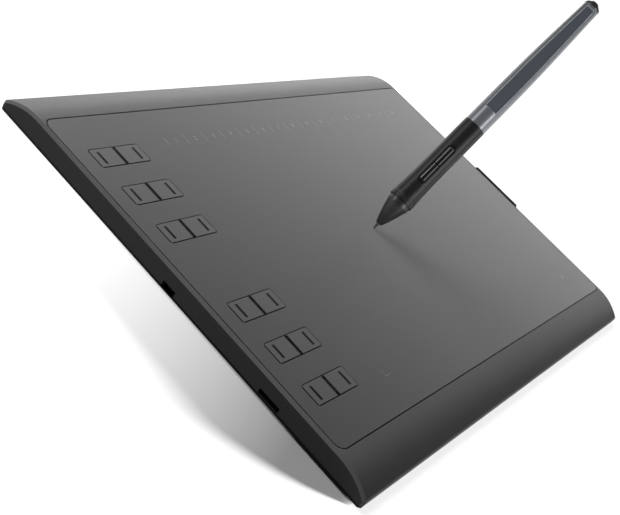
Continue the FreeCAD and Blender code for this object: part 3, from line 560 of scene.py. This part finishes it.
class TABLET_OT_sheet(bpy.types.Operator):
    """Finish the drawing sheet and print its numbered strip and corner marks"""

    bl_idname = "tablet.sheet"
    bl_label = "Drawing sheet"

    def execute(self, context):
        prints = context.scene.tablet_print
        wear(sheet_finish(context.scene.tablet_case), "drawing_sheet")
        ink = moulded("printed ink", prints.ink, 5200.0, 0.5, 0.004 * MM, 0.08)
        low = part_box("drawing_sheet")[1].z
        high = low + prints.film
        half = prints.line / 2
        ticks = []
        for index in range(prints.cells + 1):
            x = prints.first_tick + index * prints.pitch
            y = prints.strip_y
            reach = prints.tick / 2
            ticks.append(((x - half, y - reach, low), (x + half, y + reach, high)))
        # Painted shade: a black bead in the groove round the sheet darkens the groove.
        black = (0.003, 0.003, 0.003)
        groove_shade = moulded("black glue", black, 1500.0, 0.6, 0.02 * MM, 0.2, Specular_IOR_Level=0.1)
        piece("sheet_bead", self.bead(), groove_shade, "tablet")
        piece("strip_ticks", block_mesh("strip_ticks", ticks), ink, "tablet", smooth=False)
        piece("strip_numbers", self.numbers(prints, low), ink, "tablet", smooth=False)
        marks = block_mesh("area_marks", self.marks(prints, low))
        piece("area_marks", marks, ink, "tablet", smooth=False)
        return {"FINISHED"}

    def bead(self):
        """A black bead in the groove round the sheet: painted shade, a dark piece set where the
        groove lies in shade.
        """
        low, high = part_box("drawing_sheet")
        radius, steps = 5.0 * MM, 8
        near, far = 0.03 * MM, 0.57 * MM
        bottom, top = high.z - 1.05 * MM, high.z - 0.4 * MM
        crest = ((near + far) / 2, top + 0.06 * MM)
        section = [(near, bottom), (far, bottom), (far, top), crest, (near, top)]
        points = []
        for out, z in section:
            for corner, (side_x, side_y) in enumerate(((1, 1), (-1, 1), (-1, -1), (1, -1))):
                x, y = side_x * (high.x - radius), side_y * (high.y - radius)
                for step in range(steps + 1):
                    turn = math.pi / 2 * (corner + step / steps)
                    reach = radius + out
                    points.append((x + reach * math.cos(turn), y + reach * math.sin(turn), z))
        return mesh_of("sheet_bead", points, grid_faces(len(section), 4 * (steps + 1), True, True))

    def numbers(self, prints, low):
        """The cells' numbers as one mesh."""
        build = bmesh.new()
        for index in range(prints.cells):
            text = bpy.data.curves.new("number", "FONT")
            text.body = str(index + 1)
            text.size = prints.number
            text.align_x = "CENTER"
            text.align_y = "CENTER"
            text.extrude = prints.film / 2
            holder = bpy.data.objects.new("number", text)
            flat = bpy.data.meshes.new_from_object(holder)
            x = prints.first_tick + (index + 0.5) * prints.pitch
            flat.transform(Matrix.Translation((x, prints.strip_y, low + prints.film / 2)))
            build.from_mesh(flat)
            bpy.data.objects.remove(holder)
            bpy.data.meshes.remove(flat)
        mesh = bpy.data.meshes.new("strip_numbers")
        build.to_mesh(mesh)
        build.free()
        return mesh

    def marks(self, prints, low):
        """Corner brackets at the front corners of the drawing area."""
        high = low + prints.film
        half = prints.line / 2
        arm = prints.tick * 0.6
        blocks = []
        for x, inward in ((prints.area_left, 1), (prints.area_right, -1)):
            y = prints.area_front
            ends = sorted((x, x + inward * arm))
            blocks.append(((ends[0] - half, y - half, low), (ends[1] + half, y + half, high)))
            blocks.append(((x - half, y + half, low), (x + half, y + arm, high)))
        return blocks


class TABLET_OT_keys(bpy.types.Operator):
    """Finish the express keys and set a bar in the pocket of each"""

    bl_idname = "tablet.keys"
    bl_label = "Express keys"

    def execute(self, context):
        looks = context.scene.tablet_case
        bar = moulded(
            "key bar", looks.mark, looks.grain, 0.6, 0.006 * MM, 0.2, Specular_IOR_Level=0.1
        )
        for number in KEY_NUMBERS:
            node = f"express_key_{number}"
            low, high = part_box(node)
            place = self.bar_place(low, high, int(number))
            wear(key_finish(looks, low, high, place.xy), node)
            piece(f"key_bar_{number}", self.bar(node, place), bar, f"key_{number}")
        return {"FINISHED"}

    def bar_place(self, low, high, number):
        """The middle of a key's bar, near the outer end of the key: odd keys are on the left."""
        from_end = KEY_FLANGE + 4.85 * MM
        x = low.x + from_end if number % 2 else high.x - from_end
        return Vector((x, (low.y + high.y) / 2, high.z))

    def bar(self, node, place):
        """The bar in a key's pocket."""
        width, length = 0.84 * MM, 7.12 * MM
        foot, face, dome = -0.35 * MM, -0.06 * MM, 0.12 * MM
        spot = Matrix.Translation(place)
        return stadium_mesh(f"bar_{node}", width, length, foot, face, dome, spot)


class TABLET_OT_strap(bpy.types.Operator):
    """Weave the pen loop over its plain solid"""

    bl_idname = "tablet.strap"
    bl_label = "Pen loop"

    def execute(self, context):
        looks = context.scene.tablet_strap
        finish = woven(looks)
        strap = piece("woven_loop", self.band(looks), finish, "tablet")
        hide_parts("pen_loop")
        return {"FINISHED"}

    def band(self, looks):
        """A strip folded into a flat loop, with ribs along it and threads across it."""
        low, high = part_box("pen_loop")
        inset, edge_round = 0.1 * MM, 1.1 * MM
        half_width = (high.y - low.y) / 2 - inset
        middle = (low.z + high.z) / 2
        half_height = (high.z - low.z) / 2
        near, far = 180.3 * MM, high.x
        thick = 0.95 * MM
        round_end = half_height - inset
        path = self.fold(near, far, middle, half_height, round_end)
        columns_per_half_rib = 3
        columns = 2 * round(half_width * 2 / looks.rib_pitch * columns_per_half_rib) + 1
        points = []
        for side in (1, -1):
            run = 0.0
            for index, (spot, outward) in enumerate(path):
                if index:
                    run += (spot - path[index - 1][0]).length
                pick = math.cos(2 * math.pi * run / looks.pick_pitch)
                for column in range(columns):
                    across = -half_width + 2 * half_width * column / (columns - 1)
                    rib = math.cos(2 * math.pi * across / looks.rib_pitch)
                    lift = looks.relief * (rib * 0.6 + rib * pick * 0.4 - 1.0)
                    edge = min(1.0, (half_width - abs(across)) / edge_round)
                    lift -= (1 - math.sqrt(max(0.0, 1 - (1 - edge) ** 2))) * thick * 0.45
                    depth = lift if side > 0 else -thick - lift
                    place = spot + outward * depth
                    points.append((place.x, across, place.z))
        rows = len(path)
        faces = grid_faces(rows, columns)
        shift = rows * columns
        faces += [tuple(index + shift for index in face[::-1]) for face in faces]
        for row in range(rows - 1):
            for column in (0, columns - 1):
                a, b = row * columns + column, (row + 1) * columns + column
                ring = (a, b, b + shift, a + shift)
                faces.append(ring if column == 0 else ring[::-1])
        for row in (0, rows - 1):
            for column in range(columns - 1):
                a, b = row * columns + column, row * columns + column + 1
                ring = (a, b, b + shift, a + shift)
                faces.append(ring[::-1] if row == 0 else ring)
        return facing_out(mesh_of("woven_loop", points, faces))

    def fold(self, near, far, middle, half_height, radius):
        """Points round the loop's outside, each with the way out, at an even pace."""
        corners = []
        tail, flare = 3.0 * MM, 2.4 * MM
        ply = 0.98 * MM
        steps, tail_steps = 24, 10

        def add(x, z, nx, nz):
            corners.append((Vector((x, 0, middle + z)), Vector((nx, 0, nz))))

        top = half_height
        for step in range(tail_steps):
            add(near - tail * (1 - step / tail_steps), ply, 0, 1)
        for step in range(steps + 1):
            turn = step / steps
            bend = (1 - math.cos(math.pi * turn)) / 2
            x = near + flare * turn
            z = ply + (top - ply) * bend
            slope = (top - ply) * math.pi / 2 * math.sin(math.pi * turn) / flare
            norm = math.hypot(slope, 1.0)
            add(x, z, -slope / norm, 1 / norm)
        for step in range(1, steps):
            share = step / steps
            add(near + flare + share * (far - radius - near - flare), top, 0, 1)
        for step in range(2 * steps + 1):
            turn = math.pi / 2 - math.pi * step / (2 * steps)
            out, up = math.cos(turn), math.sin(turn)
            add(far - radius + radius * out, top * up, out, up)
        mirrored = [
            (Vector((spot.x, 0, 2 * middle - spot.z)), Vector((way.x, 0, -way.z)))
            for spot, way in corners
        ]
        half = len(corners) - steps
        return corners[:half] + mirrored[: half - 1][::-1]


class TABLET_OT_sockets(bpy.types.Operator):
    """Finish the data socket and the card slot, and add the data socket's contacts"""

    bl_idname = "tablet.sockets"
    bl_label = "Sockets"

    def execute(self, context):
        # Painted shade: the sockets' metal is near black, so that their openings read as shaded
        # holes.
        wear(metal("black painted_shade_metal sheet", (0.006, 0.006, 0.0065), 0.4), "usb_socket", "card_socket")
        gold = metal("gold contact", (0.75, 0.52, 0.2), 0.25)
        count, pitch, half, thick = 5, 0.65 * MM, 0.15 * MM, 0.06 * MM
        front, back = 1.2 * MM, 4.4 * MM
        low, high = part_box("usb_socket")
        middle_y, top = (low.y + high.y) / 2, (low.z + high.z) / 2 - 0.35 * MM
        blocks = []
        for index in range(count):
            y = middle_y + (index - (count - 1) / 2) * pitch
            blocks.append(((low.x + front, y - half, top - thick), (low.x + back, y + half, top)))
        contacts = block_mesh("usb_contacts", blocks, 0.02 * MM)
        piece("usb_contacts", contacts, gold, "tablet", smooth=False)
        return {"FINISHED"}


class TABLET_OT_inside(bpy.types.Operator):
    """Finish the boards, switches and foam inside the case and the pen"""

    bl_idname = "tablet.inside"
    bl_label = "Inside"

    def execute(self, context):
        wear(board_finish(), "sensor_board", "control_board", "pen_board")
        chip = moulded("chip moulding", (0.014, 0.014, 0.015), 3000.0, 0.6, 0.01 * MM, 0.2)
        wear(chip, "control_chips", "ribbon_sockets", "switch_housings")
        wear(chip, "pen_switches", "pressure_sensor")
        wear(chip, *(f"switch_plunger_{number}" for number in KEY_NUMBERS))
        wear(metal("shield steel", (0.5, 0.51, 0.52), 0.35, (1.0, 0.05, 1.0)), "shield_plate")
        foam = moulded("pressing foam", (0.03, 0.03, 0.033), 1500.0, 0.9, 0.2 * MM, 0.4)
        wear(foam, "foam_strips")
        wear(moulded("flat cable", (0.55, 0.52, 0.43), 900.0, 0.4, 0.01 * MM), "ribbon_cable")
        inner = moulded("inner moulding", (0.03, 0.03, 0.031), 2000.0, 0.6, 0.02 * MM)
        wear(inner, "loop_anchor", "pen_carrier")
        wear(metal("copper winding", (0.62, 0.27, 0.12), 0.3, (1.0, 1.0, 12.0)), "antenna_coil")
        wear(moulded("ferrite", (0.03, 0.03, 0.032), 1800.0, 0.6, 0.03 * MM, 0.2), "nib_core")
        return {"FINISHED"}


class TABLET_OT_pen_front(bpy.types.Operator):
    """Finish the nib, the cone, the grip and the side buttons"""

    bl_idname = "tablet.pen_front"
    bl_label = "Pen front"

    def execute(self, context):
        looks = context.scene.tablet_pen
        wear(moulded("nib plastic", (0.012, 0.012, 0.013), 2500.0, 0.4, 0.01 * MM, 0.2), "pen_nib")
        wear(lacquer("cone lacquer", looks.cone, 0.42, 0.0, 0.1), "pen_cone")
        wear(lacquer("dark ring", shaded(looks.cone, 0.6), 0.5, 0.0, 0.0), "cone_ring")
        grip = moulded(
            "soft grip", looks.grip, 3400.0, 0.42, 0.012 * MM, 0.15, Specular_IOR_Level=0.2
        )
        wear(grip, "pen_grip")
        button = lacquer("button lacquer", shaded(looks.cone, 0.4), 0.3, 0.0, 0.2)
        wear(button, "pen_button_front", "pen_button_rear")
        rings = self.rings(looks)
        piece("grip_rings", rings, moulded("grip ring", looks.grip, 3400.0, 0.35, 0.01 * MM), "pen")
        return {"FINISHED"}

    def rings(self, looks):
        """Three fine raised rings just behind the grip's front lip."""
        place = pen_place(looks)
        sides, around, count = 8, 72, 3
        first_station, pitch = 22.2, 0.95
        first_radius, taper = 7.47, 0.068
        bead = 0.14 * MM
        points, faces = [], []
        for index in range(count):
            station = (first_station + pitch * index) * MM
            radius = (first_radius - taper * index) * MM
            first = len(points)
            for step in range(around):
                turn = 2 * math.pi * step / around
                for side in range(sides):
                    angle = 2 * math.pi * side / sides
                    reach = radius + bead * math.cos(angle)
                    height = station + bead * math.sin(angle)
                    spot = Vector((reach * math.cos(turn), reach * math.sin(turn), height))
                    points.append(place @ spot)
            for face in grid_faces(around, sides, True, True):
                faces.append(tuple(first + corner for corner in face[::-1]))
        return mesh_of("grip_rings", points, faces)


class TABLET_OT_pen_barrel(bpy.types.Operator):
    """Finish the barrel, its panel and its end cap, and edge the panel with a bright line"""

    bl_idname = "tablet.pen_barrel"
    bl_label = "Pen barrel"

    def execute(self, context):
        looks = context.scene.tablet_pen
        wear(lacquer("barrel lacquer", looks.barrel, 0.34, 0.3, 0.1), "pen_barrel")
        wear(lacquer("panel lacquer", looks.panel, 0.4, 0.0, 0.1), "barrel_panel")
        wear(lacquer("cap lacquer", shaded(looks.cone, 2.0), 0.35, 0.0, 0.2), "pen_end_cap")
        trim = lacquer("trim lacquer", looks.trim, 0.4, 0.2, 0.0)
        piece("panel_trim", self.trim(looks), trim, "pen")
        return {"FINISHED"}

    def trim(self, looks):
        """A thin half-round line on the facet, all round the panel."""
        place = pen_place(looks)
        front, rear = 89.75 * MM, 167.35 * MM
        facet_start, facet_length = 89.5 * MM, 78.1 * MM
        edge_inset, half_line, height = 0.3 * MM, 0.13 * MM, 0.09 * MM
        steps, sides = 64, 6

        def facet(station):
            """How far the flat facet is from the pen's axis."""
            share = (station - facet_start) / facet_length
            return (5.2 - 1.2 * share) * MM

        def barrel(station):
            """The barrel's radius."""
            stations = (78.3, 100.0, 122.0, 144.0, 168.6)
            radii = (6.6, 6.58, 6.32, 5.68, 4.8)
            for index in range(4):
                start, end = stations[index], stations[index + 1]
                if station <= end * MM:
                    share = (station / MM - start) / (end - start)
                    return (radii[index] + (radii[index + 1] - radii[index]) * share) * MM
            return radii[-1] * MM

        def half(station):
            """Half the width of the line's loop on the facet."""
            return math.sqrt(barrel(station) ** 2 - facet(station) ** 2) - edge_inset

        outline = [(front + (rear - front) * step / steps, 1) for step in range(steps + 1)]
        outline += [(station, -1) for station, _ in outline[::-1]]
        spine = [
            Vector((-facet(station), side * half(station), station)) for station, side in outline
        ]
        points = []
        for index, spot in enumerate(spine):
            before, after = spine[index - 1], spine[(index + 1) % len(spine)]
            along = (after - before).normalized()
            across = along.cross(Vector((-1, 0, 0))).normalized()
            for side in range(sides + 1):
                angle = math.pi * side / sides
                lift = Vector((-height * math.sin(angle), 0, 0))
                points.append(place @ (spot + across * (half_line * math.cos(angle)) + lift))
        faces = grid_faces(len(spine), sides + 1, close_rows=True)
        faces += [
            (
                index * (sides + 1),
                ((index + 1) % len(spine)) * (sides + 1),
                ((index + 1) % len(spine)) * (sides + 1) + sides,
                index * (sides + 1) + sides,
            )
            for index in range(len(spine))
        ]
        return facing_out(mesh_of("panel_trim", points, faces))


class TABLET_OT_stage(bpy.types.Operator):
    """Set the camera, the floor, the lights and the world"""

    bl_idname = "tablet.stage"
    bl_label = "Stage"

    def execute(self, context):
        looks = context.scene.tablet_stage
        scene = context.scene
        scene.view_settings.view_transform = "Standard"
        self.camera(scene, looks)
        floor = self.floor(looks)
        self.world(scene, looks)
        pen = self.pen_pieces()
        strap = bpy.data.objects["woven_loop"]
        back = self.light("back light", (0.0, 0.38, 0.3), looks.back_power, (0.3, 0.3))
        rim = self.light("rim light", (1.5, 0.5, 0.3), looks.rim_power, (2.0, 0.36))
        edge = self.light("left light", (-1.0, 0.35, 0.42), looks.left_power, (0.4, 0.4))
        left = self.light("left pen light", (-0.53, 0.64, 0.37), looks.pen_left, (0.3, 0.5))
        right = self.light("right pen light", (-0.16, -0.86, 0.23), looks.pen_right, (0.3, 0.5))
        low = self.light("floor light", (1.27, -1.53, 0.3), looks.floor_power)
        low.data.angle = looks.floor_softness
        over = self.light("floor's back light", (-0.35, 1.0, 1.2), looks.contact_power)
        over.data.angle = looks.contact_softness
        lit = (
            ("floor alone", "INCLUDE", [floor], (low, over)),
            ("all but floor and strap", "EXCLUDE", [floor, strap], (rim,)),
            ("all but floor and pen", "EXCLUDE", [floor, *pen], (back,)),
            ("cover alone", "INCLUDE", [NODES["top_cover"]], (edge,)),
            ("pen alone", "INCLUDE", pen, (left, right)),
        )
        for name, state, members, lights in lit:
            receivers = self.group(name, state, members)
            for light in lights:
                light.light_linking.receiver_collection = receivers
        no_pen = self.group("all but the pen", "EXCLUDE", pen)
        for light in (rim, edge, low, over):
            light.light_linking.blocker_collection = no_pen
        return {"FINISHED"}

    def camera(self, scene, looks):
        """The camera, placed and turned as the photograph was taken."""
        data = bpy.data.cameras.new("camera")
        data.lens = looks.lens
        data.sensor_width = 36.0
        data.clip_end = 50.0
        camera = bpy.data.objects.new("camera", data)
        scene.collection.objects.link(camera)
        right = Vector((0.49739022, -0.66411389, 0.55817176))
        up = Vector((0.16180367, 0.7031327, 0.69240449))
        back = Vector((-0.85230426, -0.25408098, 0.45718739))
        turn = Matrix((right, up, back)).transposed().to_4x4()
        place = (-0.575711, -0.156114, SHEET_TOP + 0.263732)
        camera.matrix_world = Matrix.Translation(place) @ turn
        scene.camera = camera

    def floor(self, looks):
        """A pale floor that the eye sees nearly white, and that keeps the shadow, with painted
        light that fades the shadow toward the back left.
        """
        reach = looks.floor
        low = -0.05 * MM
        signs = ((-1, -1), (1, -1), (1, 1), (-1, 1))
        corners = [(x * reach, y * reach, low) for x, y in signs]
        floor = bpy.data.objects.new("floor", mesh_of("floor", corners, [(0, 1, 2, 3)]))
        bpy.context.scene.collection.objects.link(floor)
        finish = Finish("floor paper", Specular_IOR_Level=0.1)
        seen = finish.seen()
        grain = finish.noise(400.0)
        pale, slant = (0.8, 0.8, 0.8), 0.27
        paper = finish.mix(grain, pale, (0.82, 0.82, 0.82))
        finish.colour(finish.mix(seen, shaded(pale, looks.bounce), paper))
        finish.rough(0.9)
        # Painted light: the floor glows for the eye more and more toward the back left, fading its
        # shadow there.
        away = finish.along("Y") - finish.along("X") * slant
        values = {
            "Value": away,
            "From Min": looks.fade_start,
            "From Max": looks.fade_end,
            "To Min": 0.0,
            "To Max": 1.0,
        }
        painted_light = finish.node("ShaderNodeMapRange", {}, values) * seen
        shine = finish.mix(painted_light, (0.0,) * 3, (1.0,) * 3)
        finish.feed(finish.shader.inputs["Emission Color"], shine)
        finish.shader.inputs["Emission Strength"].default_value = 1.0
        floor.data.materials.append(finish.material)
        return floor

    def world(self, scene, looks):
        """Even pale light, with a horizon that is white where the eye or a gloss sees it."""
        world = bpy.data.worlds.new("studio")
        world.use_nodes = True
        scene.world = world
        nodes = Nodes(world.node_tree)
        background = world.node_tree.nodes["Background"]
        background.inputs["Color"].default_value = (1.0, 1.0, 1.0, 1.0)
        way = nodes.node("ShaderNodeTexCoord", {}, {}, "Generated")
        rise = nodes.node("ShaderNodeSeparateXYZ", {}, {"Vector": way}, "Z")
        blur = 0.12
        values = {
            "Value": rise,
            "From Min": looks.horizon,
            "From Max": looks.horizon + blur,
            "To Min": 1.0 - looks.sky,
            "To Max": 0.0,
        }
        smooth = {"interpolation_type": "SMOOTHSTEP"}
        white = nodes.node("ShaderNodeMapRange", smooth, values, "Result")
        nodes.feed(background.inputs["Strength"], white * nodes.seen() + looks.sky)

    def pen_pieces(self):
        """Everything that the pen is made of."""
        bodies = frame["record"]["behaviour"]["bodies"]
        nodes = [NODES[node] for body in PEN_BODIES for node in bodies[body]]
        return nodes + [bpy.data.objects[name] for name in ("grip_rings", "panel_trim")]

    def group(self, name, state, members):
        """Pieces that a light takes in or leaves out."""
        made = bpy.data.collections.new(name)
        for index, member in enumerate(members):
            made.objects.link(member)
            made.collection_objects[index].light_linking.link_state = state
        return made

    def light(self, name, place, power, size=None):
        """A soft light that looks at the origin: a rectangle where it has a size, or else a sun."""
        data = bpy.data.lights.new(name, "AREA" if size else "SUN")
        data.energy = power
        if size:
            data.shape = "RECTANGLE"
            data.size, data.size_y = size
        light = bpy.data.objects.new(name, data)
        bpy.context.scene.collection.objects.link(light)
        light.location = place
        light.rotation_euler = (-Vector(place)).to_track_quat("-Z", "Y").to_euler()
        light.visible_camera = False
        return light


STEPS = (
    TABLET_OT_case,
    TABLET_OT_sheet,
    TABLET_OT_keys,
    TABLET_OT_strap,
    TABLET_OT_sockets,
    TABLET_OT_inside,
    TABLET_OT_pen_front,
    TABLET_OT_pen_barrel,
    TABLET_OT_stage,
)

GROUPS = {
    "tablet_case": CaseLooks,
    "tablet_print": PrintLooks,
    "tablet_strap": StrapLooks,
    "tablet_pen": PenLooks,
    "tablet_stage": StageLooks,
}


class TABLET_PT_panel(bpy.types.Panel):
    """The tablet's steps and settings"""

    bl_idname = "TABLET_PT_panel"
    bl_label = "Graphics Tablet"
    bl_space_type = "VIEW_3D"
    bl_region_type = "UI"
    bl_category = "Tablet"

    def draw(self, context):
        for step in STEPS:
            self.layout.operator(step.bl_idname)
        for group, kind in GROUPS.items():
            box = self.layout.box()
            for name in kind.__annotations__:
                box.prop(getattr(context.scene, group), name)


def register():
    for kind in (*GROUPS.values(), *STEPS, TABLET_PT_panel):
        bpy.utils.register_class(kind)
    for group, kind in GROUPS.items():
        setattr(bpy.types.Scene, group, PointerProperty(type=kind))


def unregister():
    for group in GROUPS:
        delattr(bpy.types.Scene, group)
    for kind in (TABLET_PT_panel, *reversed(STEPS), *reversed(tuple(GROUPS.values()))):
        bpy.utils.unregister_class(kind)


def main():
    """Runs every step."""
    register()
    bpy.ops.tablet.case()
    bpy.ops.tablet.sheet()
    bpy.ops.tablet.keys()
    bpy.ops.tablet.strap()
    bpy.ops.tablet.sockets()
    bpy.ops.tablet.inside()
    bpy.ops.tablet.pen_front()
    bpy.ops.tablet.pen_barrel()
    bpy.ops.tablet.stage()


if __name__ == "__main__":
    main()
